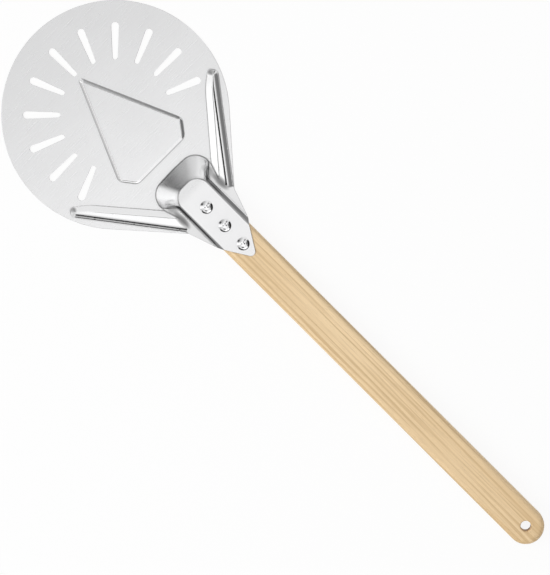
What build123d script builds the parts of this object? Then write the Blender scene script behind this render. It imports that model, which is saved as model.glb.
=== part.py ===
from build123d import *

import os
from math import acos, asin, atan2, cos, degrees, hypot, radians, sin, tan

# Pizza turning peel: a perforated blade pressed from one stainless sheet, whose hollow neck wraps
# the front of a wooden handle and is held to it by three rivets.
#
# Millimetres. The origin is the centre of the round blade, on its underside. +X runs towards the
# handle's end, +Z is up, and z = 0 is the plane that the peel lies on.

# ---- Overall -------------------------------------------------------------------------------
overall_length = 711.2      # 28 inches from the blade's front edge to the handle's end
blade_radius = 114.3        # a 9 inch round blade
sheet = 1.0                 # thickness of the pressed stainless sheet

# ---- Handle --------------------------------------------------------------------------------
handle_width = 37.0
handle_depth = 20.0         # how thick the wood is, from its underside to its top
handle_edge = 5.5           # rounding of the long edges
handle_nose_corner = 8.0    # straight cut across each of the two hidden front corners
handle_nose_gap = 3.0       # from the neck's ramp to the handle's front end, along the top
hang_hole_radius = 5.25
hang_hole_easing = 0.8      # chamfer at both mouths of the hanging hole

# ---- Neck: the hollow channel that takes the handle ------------------------------------------
side_gap = 0.3              # clearance between the channel and the handle's sides
ramp_foot_x = 80.0          # where the ramp rises out of the flat blade
ramp_angle = 45.0
wall_draft = 12.0           # how far the channel's walls lean from upright
knee_height = 6.0           # where each wall turns outwards into its skirt
skirt_width = 12.0          # from a wall's knee out to the skirt's foot
foot_corner = 15.0          # plan rounding of the two front corners, at the blade
pad_corner = 14.0           # the same at the top of the neck
neck_bend = 0.8             # inside bend radius round the top of the neck
foot_bend = 1.2             # bend radius where the pressings leave the flat blade

# ---- Blank: the outline that the sheet is trimmed to -------------------------------------------
wing_length = 56.0          # from the ramp's foot back to the shoulders
shoulder_trim = 0.7         # how far inside the skirts' foot the blank ends at the shoulders
shoulder_round = 4.0
waist_round = 25.0          # soft corner where the wings run into the tongue
tongue_angle = 31.8         # angle of each tongue edge to the centre line
tongue_tip_round = 4.7
tongue_end_margin = 15.3    # from the rear rivet's axis to the tip of the tongue

# ---- Slots -------------------------------------------------------------------------------------
slot_count = 11
slot_pitch = 22.5           # degrees between neighbouring slots
slot_inner_reach = 55.0     # from the blade's centre to a slot's inner end
slot_outer_reach = 92.5
slot_inner_width = 5.1
slot_outer_width = 7.7

# ---- Raised panel in the middle of the blade --------------------------------------------------
panel_rise = 1.3
panel_slope = 30.0          # angle of its sloping border
panel_point_x = -52.0       # its pointed front, before the corner is rounded
panel_side_x = 49.5         # its two widest corners
panel_side_y = 44.5
panel_rear_x = 64.9         # its straight rear edge
panel_rear_y = 32.7
panel_corner = 3.0

# ---- Stiffening ribs ----------------------------------------------------------------------------
rib_rise = 2.6
rib_slope = 22.0            # angle of a rib's sides
rib_tip_reach = 102.9       # from the blade's centre to the centre of a rib's rounded outer end
rib_tip_angle = 66.4        # and that centre's bearing from +X
rib_tip_crest = 0.67        # half the flat crest's width at that end
rib_root_crest = 3.37       # and at the root
rib_root_shift = 2.9        # from the knee inwards to the rib's centre line, at the root
rib_crest_bend = 2.0        # inside bend radius along both edges of the crest

# ---- Rivets and washers ---------------------------------------------------------------------------
rivet_places = ["front", "middle", "rear"]
rivet_pitch = 25.7
rivet_setback = 30.3        # from the front edge of the neck's top to the first rivet
rivet_shank_radius = 2.5
rivet_hole_gap = 0.1        # radial clearance of the shank in the sheet, wood and washer
rivet_head_radius = 6.5
rivet_crown_radius = 4.0    # flat crown of the head
rivet_head_rim = 1.0        # upright rim below the sloping shoulder
rivet_head_height = 2.6
washer_radius = 6.0
washer_thickness = 1.0
washer_side_gap = 0.3       # radial clearance of a washer in its counterbore
tail_radius = 4.0           # the set tail below the washer
tail_height = 1.8
tail_recess = 0.6           # from the set tail up to the table plane

# ---- Worked out from the sizes above -----------------------------------------------------------
table_slab = 5.0            # stock kept below the sheet while it is being shaped
handle_end_x = overall_length - blade_radius
handle_round = handle_width / 2
hang_hole_x = handle_end_x - handle_round
pad_front_x = ramp_foot_x + handle_depth / tan(radians(ramp_angle))
rivet_x = [pad_front_x + rivet_setback + i * rivet_pitch for i in range(len(rivet_places))]
shoulder_x = ramp_foot_x + wing_length
stock_end_x = rivet_x[-1] + tongue_end_margin + 3 * handle_round


def wall_inside(height):
    """Half the channel's inside width at a height, just clear of the handle's rounded edges."""
    edge_centre_y = handle_width / 2 - handle_edge
    edge_centre_z = handle_depth - handle_edge
    clear_y = edge_centre_y + (handle_edge + side_gap) / cos(radians(wall_draft))
    return clear_y - (height - edge_centre_z) * tan(radians(wall_draft))


knee_y = wall_inside(knee_height)
foot_y = knee_y + skirt_width
skirt_slope = degrees(atan2(knee_height, skirt_width))
wall_slope = 90 - wall_draft


def bend_shift(skin, turn):
    """How far a bend line moves sideways when both of its faces grow by skin."""
    return skin * tan(radians(turn) / 2)


def knee_at(skin):
    """Half-width and height of the knee on the face that lies skin above the inside of the sheet."""
    bisector = radians((skirt_slope + wall_slope) / 2)
    reach = skin / cos(radians(wall_slope - skirt_slope) / 2)
    return knee_y + reach * sin(bisector), knee_height + reach * cos(bisector)


def neck(skin):
    """The neck as a solid: a skirt and a steep-walled channel, both with rounded front corners."""

    def outline(height, half_width, corner):
        front_x = ramp_foot_x - bend_shift(skin, ramp_angle)
        front_x += (height - skin) / tan(radians(ramp_angle))
        with BuildSketch(Plane.XY.offset(height)) as plan:
            with Locations((front_x, 0)):
                Rectangle(stock_end_x - front_x, 2 * half_width, align=(Align.MIN, Align.CENTER))
            fillet(plan.vertices().group_by(Axis.X)[0], corner)
        return plan.sketch.face()

    knee_half, knee_z = knee_at(skin)
    knee_corner = foot_corner + (pad_corner - foot_corner) * knee_height / handle_depth
    corner_growth = bend_shift(skin, (skirt_slope + wall_slope) / 2)
    foot_plan = outline(skin, foot_y + bend_shift(skin, skirt_slope), foot_corner + corner_growth)
    knee_plan = outline(knee_z, knee_half, knee_corner + corner_growth)
    pad_half = wall_inside(handle_depth) + bend_shift(skin, wall_slope)
    pad_plan = outline(handle_depth + skin, pad_half, pad_corner + corner_growth)

    with BuildPart() as body:
        loft([foot_plan, knee_plan], ruled=True)
        loft([knee_plan, pad_plan], ruled=True)
        pad_rim = body.faces().sort_by(Axis.Z)[-1].edges().sort_by(Axis.X)[:-1]
        fillet(pad_rim, neck_bend + skin)
    return body.part


def rib(skin):
    """The rib at +Y as a solid, tapering from its rounded root inside the neck to its outer end."""
    tip = Vector(rib_tip_reach * cos(radians(rib_tip_angle)), rib_tip_reach * sin(radians(rib_tip_angle)))
    root = Vector(shoulder_x, knee_y - rib_root_shift)
    run = root - tip
    plan = Plane(origin=(tip.X, tip.Y, skin), x_dir=(run.X, run.Y, 0), z_dir=(0, 0, 1))
    side = rib_rise / tan(radians(rib_slope)) + bend_shift(skin, rib_slope)
    tip_radius = rib_tip_crest + side
    root_radius = rib_root_crest + side
    flare = asin((root_radius - tip_radius) / run.length)
    tip_x, tip_y = -tip_radius * sin(flare), tip_radius * cos(flare)
    root_x, root_y = run.length - root_radius * sin(flare), root_radius * cos(flare)
    with BuildPart() as body:
        with BuildSketch(plan):
            with BuildLine():
                Line((tip_x, -tip_y), (root_x, -root_y))
                ThreePointArc((root_x, -root_y), (run.length + root_radius, 0), (root_x, root_y))
                Line((root_x, root_y), (tip_x, tip_y))
                ThreePointArc((tip_x, tip_y), (-tip_radius, 0), (tip_x, -tip_y))
            make_face()
        extrude(amount=rib_rise, taper=90 - rib_slope)
        fillet(body.faces().sort_by(Axis.Z)[-1].edges(), rib_crest_bend + skin)
    return body.part


def pressing(skin):
    """Everything below one face of the pressed sheet: its underside at skin 0, its top at skin sheet."""
    neck_body = neck(skin)
    rib_body = rib(skin)
    with BuildPart() as body:
        with BuildSketch(Plane.XY.offset(skin)):
            Rectangle(2 * stock_end_x, 3 * blade_radius)
        extrude(amount=-table_slab)
        add(neck_body)
        neck_foot = body.edges().filter_by(lambda e: leaves_plate(e, skin))
        fillet(neck_foot, foot_bend)
        add(rib_body)
        mirror(rib_body, about=Plane.XZ)
        with BuildSketch(Plane.XY.offset(skin)) as panel:
            Polygon(
                (panel_point_x, 0),
                (panel_side_x, -panel_side_y),
                (panel_rear_x, -panel_rear_y),
                (panel_rear_x, panel_rear_y),
                (panel_side_x, panel_side_y),
                align=None,
            )
            offset(amount=bend_shift(skin, panel_slope), kind=Kind.INTERSECTION)
            fillet(panel.vertices(), panel_corner)
        extrude(amount=panel_rise, taper=90 - panel_slope)
    return body.part


def leaves_plate(edge, skin):
    """True for the inside corner where the neck leaves the flat plate."""
    middle = edge.center()
    inside_stock = abs(middle.X) < stock_end_x - 1 and abs(middle.Y) < 1.5 * blade_radius - 1
    return inside_stock and max(abs(p.Z - skin) for p in (middle, edge @ 0, edge @ 1)) < 0.01


# ---- Blade --------------------------------------------------------------------------------------
top_face = pressing(sheet)
underside = pressing(0)
shoulder_y = foot_y - shoulder_trim
waist_y = knee_at(sheet)[0]
rim_end = atan2(shoulder_y, shoulder_x) + acos(blade_radius / hypot(shoulder_x, shoulder_y))
tongue_point_x = rivet_x[-1] + tongue_end_margin
tongue_point_x += tongue_tip_round * (1 / sin(radians(tongue_angle)) - 1)
waist_x = tongue_point_x - waist_y / tan(radians(tongue_angle))

with BuildSketch() as one_slot:
    inner_end = slot_inner_width / 2
    outer_end = slot_outer_width / 2
    with Locations((slot_inner_reach + inner_end, 0)):
        Circle(inner_end)
    with Locations((slot_outer_reach - outer_end, 0)):
        Circle(outer_end)
    make_hull()

with BuildPart() as blade:
    with BuildSketch():
        with BuildLine():
            rim = CenterArc((0, 0), blade_radius, degrees(rim_end), 360 - 2 * degrees(rim_end))
            FilletPolyline(
                rim @ 1,
                (shoulder_x, -shoulder_y),
                (waist_x, -waist_y),
                (tongue_point_x, 0),
                (waist_x, waist_y),
                (shoulder_x, shoulder_y),
                rim @ 0,
                radius=[shoulder_round, waist_round, tongue_tip_round, waist_round, shoulder_round],
            )
        make_face()
    extrude(amount=handle_depth + 2 * sheet)
    add(top_face, mode=Mode.INTERSECT)
    add(underside, mode=Mode.SUBTRACT)
    slot_fan = (slot_count - 1) * slot_pitch
    with BuildSketch():
        with PolarLocations(0, slot_count, 180 - slot_fan / 2, slot_fan, endpoint=True):
            add(one_slot.sketch)
    extrude(amount=2 * sheet, mode=Mode.SUBTRACT)
    with Locations(*[(x, 0, handle_depth + sheet) for x in rivet_x]):
        Hole(rivet_shank_radius + rivet_hole_gap, depth=2 * sheet)
blade.part.label = "blade"

# ---- Handle -------------------------------------------------------------------------------------
washer_seat_z = tail_recess + tail_height + washer_thickness

with BuildPart() as handle:
    nose_x = pad_front_x + handle_nose_gap
    with BuildSketch() as plan:
        with Locations((nose_x, 0)):
            Rectangle(hang_hole_x - nose_x, handle_width, align=(Align.MIN, Align.CENTER))
        chamfer(plan.vertices().group_by(Axis.X)[0], handle_nose_corner)
        with Locations((hang_hole_x, 0)):
            Circle(handle_round)
    extrude(amount=handle_depth)
    long_edges = handle.faces().filter_by(Axis.Z).edges().filter_by(lambda e: e.center().X > rivet_x[0])
    fillet(long_edges, handle_edge)
    with Locations((hang_hole_x, 0, handle_depth)):
        Hole(hang_hole_radius)
    mouths = handle.edges().filter_by(GeomType.CIRCLE).filter_by(lambda e: e.radius == hang_hole_radius)
    chamfer(mouths, hang_hole_easing)
    with Locations(*[Plane((x, 0, 0), z_dir=(0, 0, -1)) for x in rivet_x]):
        CounterBoreHole(
            rivet_shank_radius + rivet_hole_gap,
            washer_radius + washer_side_gap,
            washer_seat_z,
        )
handle.part.label = "handle"

# ---- Rivets and their washers -------------------------------------------------------------------
head_seat_z = handle_depth + sheet
washer_foot_z = washer_seat_z - washer_thickness
rivets = {}
washers = {}
for place, x in zip(rivet_places, rivet_x):
    with BuildPart() as rivet:
        with BuildSketch(Plane((x, 0, 0), x_dir=(1, 0, 0), z_dir=(0, -1, 0))):
            with BuildLine():
                Polyline(
                    (0, head_seat_z + rivet_head_height),
                    (rivet_crown_radius, head_seat_z + rivet_head_height),
                    (rivet_head_radius, head_seat_z + rivet_head_rim),
                    (rivet_head_radius, head_seat_z),
                    (rivet_shank_radius, head_seat_z),
                    (rivet_shank_radius, washer_foot_z),
                    (tail_radius, washer_foot_z),
                    (tail_radius, washer_foot_z - tail_height),
                    (0, washer_foot_z - tail_height),
                    close=True,
                )
            make_face()
        revolve(axis=Axis((x, 0, 0), (0, 0, 1)))
    rivet.part.label = f"rivet_{place}"
    rivets[place] = rivet.part

    with BuildPart() as washer:
        with BuildSketch(Plane((x, 0, washer_foot_z))):
            Circle(washer_radius)
            Circle(rivet_shank_radius + rivet_hole_gap, mode=Mode.SUBTRACT)
        extrude(amount=washer_thickness)
    washer.part.label = f"washer_{place}"
    washers[place] = washer.part

# ---- Files --------------------------------------------------------------------------------------
os.makedirs("parts", exist_ok=True)
export_step(blade.part, "parts/blade.step")
export_step(handle.part, "parts/handle.step")
for place in rivet_places:
    export_step(rivets[place], f"parts/rivet_{place}.step")
    export_step(washers[place], f"parts/washer_{place}.step")
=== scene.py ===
from math import acos, asin, atan2, cos, degrees, hypot, pi, radians, sin, tan

import bmesh
import bpy
import numpy as np
from bpy.props import FloatProperty, FloatVectorProperty, PointerProperty
from bpy.types import NodeSocket, Operator, Panel, PropertyGroup
from mathutils import Matrix, Vector
from mathutils.geometry import delaunay_2d_cdt


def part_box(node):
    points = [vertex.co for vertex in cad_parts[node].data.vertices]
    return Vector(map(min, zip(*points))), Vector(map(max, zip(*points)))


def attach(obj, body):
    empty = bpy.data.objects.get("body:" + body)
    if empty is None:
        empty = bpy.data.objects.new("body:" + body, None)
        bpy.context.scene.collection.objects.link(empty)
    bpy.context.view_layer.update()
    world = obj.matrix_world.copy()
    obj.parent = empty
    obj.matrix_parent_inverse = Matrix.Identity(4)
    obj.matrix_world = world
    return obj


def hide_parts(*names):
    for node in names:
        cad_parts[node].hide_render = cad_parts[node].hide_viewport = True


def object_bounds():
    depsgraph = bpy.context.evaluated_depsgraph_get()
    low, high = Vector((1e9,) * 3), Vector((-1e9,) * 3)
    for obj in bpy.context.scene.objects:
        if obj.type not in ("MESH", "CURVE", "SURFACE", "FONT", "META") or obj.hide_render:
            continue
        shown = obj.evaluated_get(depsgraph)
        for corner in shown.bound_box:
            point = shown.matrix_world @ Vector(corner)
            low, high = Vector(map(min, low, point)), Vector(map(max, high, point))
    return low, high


bl_info = {
    "name": "Pizza Peel Finish",
    "version": (1, 0, 0),
    "blender": (4, 5, 0),
    "location": "View3D > Sidebar > Peel",
    "description": "Dresses the packed pizza peel in brushed steel, wood and rivets, in a pale studio",
    "category": "Object",
}

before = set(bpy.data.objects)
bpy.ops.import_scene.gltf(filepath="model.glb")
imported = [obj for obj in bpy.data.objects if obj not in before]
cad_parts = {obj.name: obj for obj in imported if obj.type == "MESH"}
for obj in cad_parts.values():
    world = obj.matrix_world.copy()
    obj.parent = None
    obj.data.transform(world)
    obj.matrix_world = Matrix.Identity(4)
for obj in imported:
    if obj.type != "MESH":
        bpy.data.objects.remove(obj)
cad_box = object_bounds()

ROOT = "root"
RIVET_PLACES = ("front", "middle", "rear")
MM = 0.001
WHITE = (1.0, 1.0, 1.0, 1.0)

# Facets of a rivet: from its crown to its rim, round its tail's struck edge, and all the way round.
HEAD_STEPS, TAIL_STEPS, TURN_STEPS = 24, 6, 128
SHARP_ANGLE = 35  # degrees between facets, past which their edge looks sharp

# ---- The studio: angles in degrees, lengths in metres ----
# Brightness of the light tent by bearing, from +X towards +Y: its middle height, which the ribs, the
# panel's border and the skirts mirror, and its foot, which the ramp and the walls mirror.
TENT_MIDDLE = (
    (0, 0.9), (20, 0.8), (35, 0.4), (45, 0.2), (65, 0.2), (78, 0.5), (88, 0.9), (100, 0.85),
    (114, 0.3), (125, 0.85), (150, 0.9), (180, 0.6), (200, 0.8), (225, 1.25), (240, 1.2), (248, 0.75),
    (270, 0.75), (285, 0.9), (300, 0.6), (318, 0.6), (330, 1.1),
)
TENT_LOW = (
    (0, 1.4), (10, 1.0), (16, 0.02), (84, 0.02), (91, 0.9), (104, 0.85), (109, 0.8), (119, 0.8),
    (124, 0.95), (134, 0.85), (154, 0.6), (165, 0.48), (172, 0.43), (177, 0.37), (181, 0.31), (185, 0.18),
    (189, 0.08), (194, 0.04), (199, 0.1), (204, 0.3), (210, 0.6), (217, 1.1), (238, 1.2), (243, 0.6),
    (250, 0.6), (256, 0.9), (285, 0.9), (318, 1.4),
)
# Down from the top, where the plain roof turns into the middle, and the middle into the foot.
MIDDLE_BLEND, LOW_BLEND = (25.0, 42.0), (53.5, 58.0)
# Dark cards in the tent: bearing and half width, then start and end down from the top, and the share
# of light that is left.
CARDS = (
    ((52, 32), (9.0, 24.0), 0.01),
    ((128, 20), (9.0, 29.0), 0.15),
    ((232, 20), (9.0, 29.0), 0.3),
    ((308, 24), (42.0, 51.2), 0.01),
    ((287, 34), (66.0, 80.0), 0.02),
    ((114, 10), (45.0, 63.0), 0.25),
    ((96, 19), (58.0, 63.0), 0.2),
    ((325, 62), (73.0, 92.0), 0.1),
)
CARD_SIDE_FADE = 0.02  # width of a card's soft sides, as a share of a full turn
CARD_FADE = 1.5  # half the width of its soft top and bottom
FLOOR_HALF = 30.0
FLOOR_DROP = 0.05 * MM  # how far the floor lies under the peel
KEY_SIZE = (2.2, 1.4)
KEY_PLACE = (-0.9, -1.3, 1.6)  # from the middle of the peel

# ---- The pressed sheet, in millimetres and degrees; bend lines are those of its underside ----
SHEET = 1.0
BEND = 0.45  # how softly the press rounds a bend
EDGE_EASING = 0.3  # how far in from the cut edges the easing starts
EDGE_DROP = 0.7 * EDGE_EASING  # how far it takes the edge down
BLADE_RADIUS = 114.26
SHOULDER = (136.0, 32.04)
WAIST_HALF = 21.62
TONGUE_X = 201.2  # where the tongue's two edges would meet
TONGUE_ANGLE = 31.8
SHOULDER_ROUND, WAIST_ROUND, TONGUE_ROUND = 4.0, 25.0, 4.7
RIVET_HOLE = 2.6  # radius
SLOT_COUNT = 11
SLOT_PITCH = 22.5
SLOT_REACH = (55.0, 92.5)
SLOT_WIDTHS = (5.1, 7.7)
FOOT_X, FOOT_HALF, FOOT_CORNER = 80.0, 32.74, 15.0
PAD_X, PAD_HALF, PAD_CORNER = 100.0, 17.76, 14.0
NECK_RISE = 20.0
RAMP_SLOPE, SKIRT_SLOPE, WALL_SLOPE = 45.0, 26.6, 78.0
RAMP_CROWN = 0.002  # the ramp lies this times the square of y further back
RAMP_BULGE = 0.04  # how far the ramp swells between its foot and the pad, as a share of its rise
WALL_START = (97.0, 113.0)  # along X, where the sides of the neck's front steepen into its walls
SKIRT_START = (95.0, 101.0)
SKIRT_TOP, SKIRT_BLEND = 7.0, 0.5
PANEL = ((-52.0, 0.0), (49.5, 44.5), (64.9, 32.7), (64.9, 0.0))
PANEL_SLOPE, PANEL_RISE, PANEL_CORNER = 30.0, 1.3, 3.2
RIB_TIP_REACH, RIB_TIP_ANGLE = 101.9, 67.4
RIB_ROOT = (137.0, 19.1)
RIB_RISE = 2.6
RIB_OUTER = 9.4  # from the rib's guide line out to its outer foot
RIB_INNER_TIP, RIB_INNER_ROOT = -4.9, -11.7
RIB_TIP_TAPER, RIB_TAPER_SHARE = 2.5, 0.16  # how the inner foot draws in towards the outer end
RIB_OVERRUN = 1.2  # how far past the root the inner foot still spreads, in runs of the rib
RIB_SLOPE = 20.7  # of the rib's flat inner side
FLANK_FOOT, FLANK_STEEP, FLANK_ROUND = 1.5, 1.5, 5.4
FLANK_START = 0.17  # slope of the flank at the crest, as a share of its steepest
ROOT_BLEND = 0.4

# ---- How finely the relief is worked out, and how close the mesh's points lie, in millimetres ----
GRID = 0.3  # spacing of the relief's own grid
FIELD_X, FIELD_Y = (-118.0, 206.0), (-118.0, 118.0)  # what that grid covers
HALVINGS = 20  # steps of the search for a place's share of the neck's rise
RIM_STEP, WAIST_STEP, SLOT_STEP, HOLE_STEP = 2.5, 1.0, 0.8, 0.7  # between points along the outlines
EDGE_CLEARANCE = 0.9  # from a cut edge to the nearest free point
NECK_ROWS = (  # shares of the neck's rise
    -0.25, -0.12, -0.06, -0.03, 0.0, 0.025, 0.05, 0.1, 0.17, 0.25, 0.33, 0.41, 0.49, 0.57, 0.64,
    0.7, 0.74, 0.77, 0.8, 0.825, 0.85, 0.875, 0.9, 0.925, 0.95, 0.975, 1.0, 1.025, 1.06, 1.12,
)
FRONT_STEPS, CORNER_STEPS, WALL_STEP = 8, 22, 1.6  # across half the front, round the corner, along the wall
RIB_STEPS, RIB_SHARE = 45, 0.92  # along the rib, up to this share of its run
RIB_ROWS = 28  # across the rib, from foot to foot
TIP_RINGS, TIP_OUTSIDE, TIP_STEPS = 14, 3, 24  # rings in and outside its round end, and steps round it
PANEL_ROWS = (  # in from the foot of the panel's border
    -2.2, -1.5, -0.9, -0.3, 0.2, 0.7, 1.2, 1.7, 2.2, 2.7, 3.3,
)
PANEL_STEP = 1.8
NET_X, NET_Y = 9.0, 8.0  # the coarse net on the flats
NET_COLUMNS, NET_ROWS = range(-12, 14), range(14)
NECK_LEAST_CORNER, PANEL_LEAST_CORNER = 1.0, 0.4
MIRROR_FROM = 0.3  # nearer to the centre line, a point has no twin on the other side
TOUCHING = 0.01  # closer than this counts as there
MERGING = 1e-4  # points closer than this become one
TINY = 1e-6  # as good as nothing

# ---- Shades of the blade's steel: shares of light left, lengths in millimetres ----
NOISE_SPREAD = (0.3, 0.7)  # nearly all of a noise lies between these
LINE_TONES, CLOUD_TONES = (0.965, 1.02), (0.985, 1.015)
LINE_ROUGHNESS, STRETCH_ROUGHNESS = 0.2, 0.1  # how much these noises change the roughness
SHEEN_REACH, SHEEN_LEAN, SHEEN_TONES = 100.0, -0.36, (0.92, 1.08)  # painted sheen: lighter towards +X and -Y and darker the other way, as the light falls along the blade
EDGE_SHADE = 0.2  # painted shade along the cut edges, counted as a bend
CREASE_REACH = 8.0  # how far the painted shade spreads from the inside corners of the pressing
# Painted shade in inside corners, in hollow bends near the ground and on the neck's rounded top edge: what
# is shaded, its openness or its bend from and to, then the share of light at each.
CREASE = (0.45, 0.98, 0.75, 1.0)
HOLLOW = (0.08, 0.5, 1.0, 0.3)
RIDGE = (-0.6, -0.1, 0.45, 1.0)
HOLLOW_HEIGHTS = (3.0, 6.0)  # between these the painted shade of a hollow bend fades out
BRUSH_HEIGHTS = (2.6, 3.2)  # between these the brushing fades out on the ribs
NECK_BRUSHING = 0.3  # how much of it comes back on top of the neck
NECK_BAND = (0.85, 0.97)  # shares of the neck's height, between which its top starts
# How far the sheet faces up on its flats and on its walls, and back on its ramp.
FLAT_FACING, WALL_FACING, RAMP_FACING = (0.975, 0.998), (0.35, 0.7), (0.45, 0.68)
FRONT_START, FRONT_END, FRONT_SIDE = (76.0, 79.0), (107.0, 113.0), (33.0, 36.0)
FRONT_ROUGHNESS = 0.15  # what the deep-drawn front of the neck adds to the roughness
RAMP_TURN = 9.0  # how fast the ramp's facing turns sideways away from its middle, per metre
RAMP_EASE = 0.05  # how much flatter than its own slope the ramp mirrors
WALL_X = (107.0, 111.0)  # where the walls' painted shade starts
WALL_SHADE = 0.3  # painted shade: share of light left on the neck's walls, painted darker for the dark that they mirror
WALL_GRAZING = (0.34, 0.53)  # painted shade on their reflection at a grazing angle, on the -Y and the +Y side
# Painted shade spots, on both sides: middle, reach along X and Y, share of light left.
PAINTED_SHADE_SPOTS = (
    ((122.0, 27.3), (13.0, 5.0), 0.3),  # a rib running into its skirt
    ((107.0, 26.5), (11.0, 5.5), 0.6),  # the skirt beside it
    ((37.4, 97.6), (4.4, 4.4), 0.5),  # a rib's outer end
)


# ---- Settings ----
class PEEL_PG_steel(PropertyGroup):
    """Stainless sheet of the blade."""

    colour: FloatVectorProperty(
        name="Steel colour", description="Reflection colour of the bare stainless sheet",
        default=(0.84, 0.84, 0.845), min=0.0, max=1.0, subtype="COLOR",
    )
    neck_colour: FloatVectorProperty(
        name="Neck colour", description="Reflection colour of the smoother sheet on top of the neck",
        default=(0.75, 0.75, 0.755), min=0.0, max=1.0, subtype="COLOR",
    )
    roughness: FloatProperty(
        name="Brushed roughness", description="Mean roughness of the brushed finish on the flat sheet",
        default=0.3, min=0.05, max=0.8, subtype="FACTOR",
    )
    drawn_roughness: FloatProperty(
        name="Drawn roughness",
        description="Mean roughness where the press has drawn the sheet over a slope",
        default=0.1, min=0.02, max=0.8, subtype="FACTOR",
    )
    brush_width: FloatProperty(
        name="Brush line width", description="Typical width of one brushed line",
        default=0.5 * MM, min=0.05 * MM, unit="LENGTH",
    )
    brush_length: FloatProperty(
        name="Brush line length", description="Typical length of one brushed line",
        default=25 * MM, min=1 * MM, unit="LENGTH",
    )


class PEEL_PG_rivets(PropertyGroup):
    """Round-headed solid rivets."""

    shank_radius: FloatProperty(
        name="Shank radius", description="Radius of the shank through the sheet, the wood and the washer",
        default=2.5 * MM, min=0.5 * MM, unit="LENGTH",
    )
    tail_radius: FloatProperty(
        name="Tail radius", description="Radius of the set tail below the washer",
        default=4 * MM, min=0.5 * MM, unit="LENGTH",
    )
    tail_height: FloatProperty(
        name="Tail height", description="Height of the set tail",
        default=1.8 * MM, min=0.1 * MM, unit="LENGTH",
    )
    tail_rounding: FloatProperty(
        name="Tail rounding", description="Radius of the set tail's struck edge",
        default=0.9 * MM, min=0.05 * MM, unit="LENGTH",
    )


class PEEL_PG_wood(PropertyGroup):
    """Light hardwood of the handle."""

    early_colour: FloatVectorProperty(
        name="Early wood", description="Colour of the pale wood between the growth rings",
        default=(0.93, 0.71, 0.44), min=0.0, max=1.0, subtype="COLOR",
    )
    late_colour: FloatVectorProperty(
        name="Late wood", description="Colour of the darker growth rings",
        default=(0.69, 0.485, 0.26), min=0.0, max=1.0, subtype="COLOR",
    )
    pore_colour: FloatVectorProperty(
        name="Pores", description="Colour of the short dark pore lines",
        default=(0.47, 0.32, 0.18), min=0.0, max=1.0, subtype="COLOR",
    )


class PEEL_PG_studio(PropertyGroup):
    """Camera and light."""

    camera_distance: FloatProperty(
        name="Camera distance", description="Height of the camera above the peel",
        default=3.44, min=0.5, unit="LENGTH",
    )
    camera_side: FloatProperty(
        name="Camera side step",
        description="How far the camera stands towards +Y from the point that it looks at",
        default=0.18, unit="LENGTH",
    )
    aim: FloatVectorProperty(
        name="Aim", description="Point that the camera looks at",
        default=(0.2347, -0.0094, 0.0), subtype="TRANSLATION",
    )
    view_size: FloatProperty(
        name="View size", description="Length across the long side of the picture, at the aim",
        default=0.5736, min=0.1, unit="LENGTH",
    )
    roll: FloatProperty(
        name="Camera roll", description="Angle from +X, in the plan, to the picture's right-hand side",
        default=radians(45), subtype="ANGLE",
    )
    floor_colour: FloatVectorProperty(
        name="Floor colour", description="Colour of the plain pale floor",
        default=(0.93, 0.93, 0.93), min=0.0, max=1.0, subtype="COLOR",
    )
    floor_glow: FloatProperty(
        name="Floor glow", description="Share of plain white in the floor as seen directly or mirrored",
        default=0.9, min=0.0, max=1.0, subtype="FACTOR",
    )
    tent_level: FloatProperty(
        name="Tent level", description="Brightness of the white light tent above the peel",
        default=1.1, min=0.0,
    )
    key_power: FloatProperty(
        name="Key light power", description="Power of the large soft light on the -Y side",
        default=17.0, min=0.0, unit="POWER",
    )


# ---- Node helpers ----
def empty_tree(owner):
    """Clears and returns the node tree of a material or world."""
    owner.use_nodes = True
    owner.node_tree.nodes.clear()
    return owner.node_tree


def new_material(name):
    """A material with an empty node tree, and that tree."""
    material = bpy.data.materials.new(name)
    return material, empty_tree(material)


def add_node(tree, kind, inputs=None, **settings):
    """Adds a node; inputs gives socket values or output sockets to link, settings gives properties."""
    node = tree.nodes.new(kind)
    for name, value in settings.items():
        setattr(node, name, value)
    for name, value in (inputs or {}).items():
        if isinstance(value, NodeSocket):
            tree.links.new(value, node.inputs[name])
        else:
            node.inputs[name].default_value = value
    return node


def math(tree, operation, a, b=0.0):
    """One math step; returns its output socket."""
    return add_node(tree, "ShaderNodeMath", {0: a, 1: b}, operation=operation).outputs[0]


def product(tree, *factors):
    """All the factors multiplied together."""
    result = factors[0]
    for factor in factors[1:]:
        result = math(tree, "MULTIPLY", result, factor)
    return result


def remap(tree, value, low, high, to_low=0.0, to_high=1.0, smooth=False):
    """Maps low..high to to_low..to_high, held at both ends."""
    kind = "SMOOTHSTEP" if smooth else "LINEAR"
    inputs = {"Value": value, "From Min": low, "From Max": high, "To Min": to_low, "To Max": to_high}
    return add_node(tree, "ShaderNodeMapRange", inputs, interpolation_type=kind).outputs["Result"]


def remap_mm(tree, value, limits, to_low=0.0, to_high=1.0, smooth=False):
    """The same between two limits in millimetres."""
    return remap(tree, value, limits[0] * MM, limits[1] * MM, to_low, to_high, smooth)


def mix_colour(tree, factor, first, second, blend="MIX"):
    """Mixes two colours; returns the colour socket."""
    inputs = {0: factor, 6: first, 7: second}
    return add_node(tree, "ShaderNodeMix", inputs, data_type="RGBA", blend_type=blend).outputs[2]


def grey(tree, value):
    """The same value in all three channels."""
    return add_node(tree, "ShaderNodeCombineColor", {0: value, 1: value, 2: value}).outputs[0]


def shade(tree, colour, level):
    """The colour with only this share of its light left."""
    return mix_colour(tree, 1.0, colour, grey(tree, level), blend="MULTIPLY")


def rgba(colour, scale=1.0):
    """A colour as a node takes it, made lighter or darker by scale."""
    return (*(channel * scale for channel in colour), 1.0)


def place(tree):
    """Position on the peel, in metres, as a vector socket."""
    return add_node(tree, "ShaderNodeTexCoord").outputs["Object"]


def parts(tree, vector):
    """The X, Y and Z of a vector socket."""
    return add_node(tree, "ShaderNodeSeparateXYZ", {0: vector}).outputs


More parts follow.
